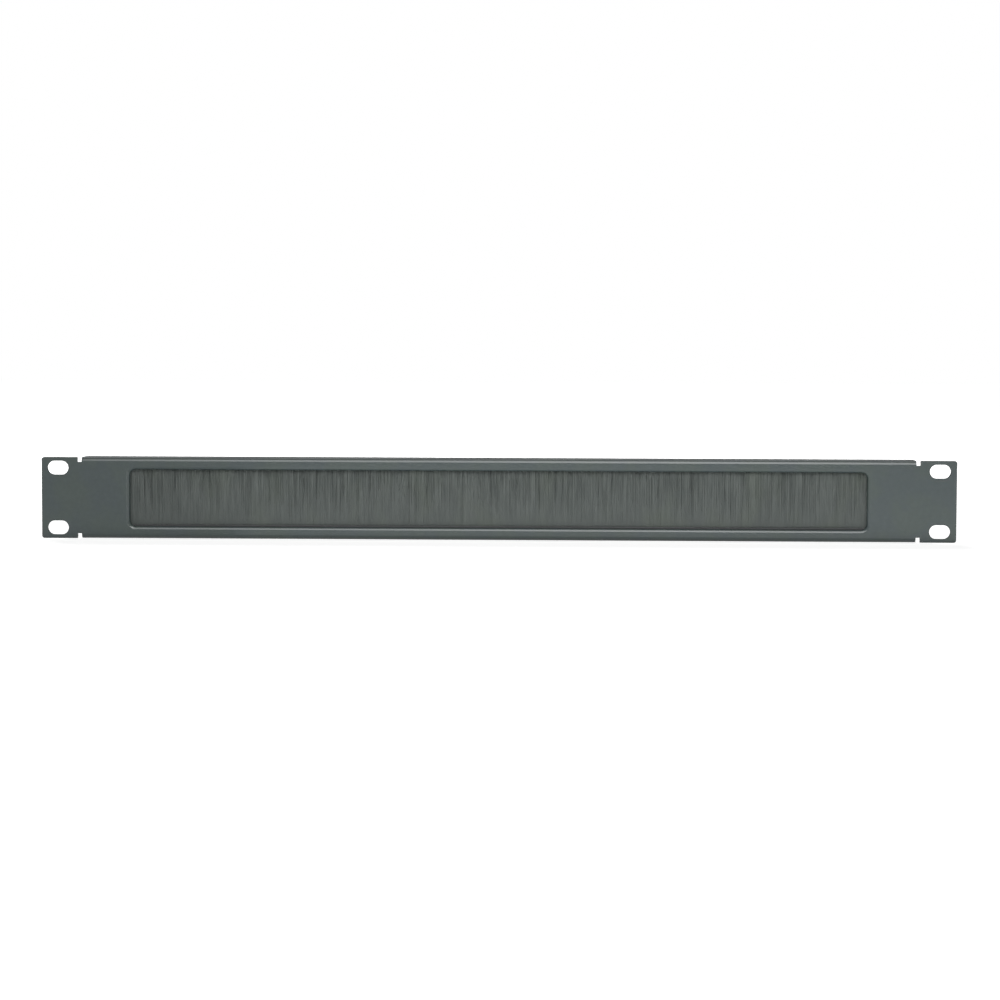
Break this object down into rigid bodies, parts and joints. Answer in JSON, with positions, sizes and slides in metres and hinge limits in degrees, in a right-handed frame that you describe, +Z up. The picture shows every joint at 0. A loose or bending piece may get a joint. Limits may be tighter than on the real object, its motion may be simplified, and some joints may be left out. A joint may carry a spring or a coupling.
{
  "type": "brush blanking panel",
  "caption": "Rack blanking panel in folded slate grey sheet steel, with a strip brush filling a long rolled-rim window so that cables pass through while dust stays out.",
  "frame": {"origin": "centre of the four rack slots, on the rear face of the ears that lies against the rack's rails", "axes": "+X along the panel, +Y from the front into the rack, +Z up"},
  "size_m": [0.4826, 0.015, 0.043],
  "materials": {
    "slate_powder_coat": "satin",
    "grey_nylon": "satin",
    "galvanised_steel": "satin",
    "black_anodised": "satin",
    "rivet_aluminium": "satin"
  },
  "bodies": {
    "root": {"front_panel": "slate_powder_coat", "bristles": "grey_nylon", "brush_channel": "galvanised_steel", "core_wire": "galvanised_steel", "brush_holder": "black_anodised", "holder_rivets": "rivet_aluminium"}
  },
  "joints": []
}
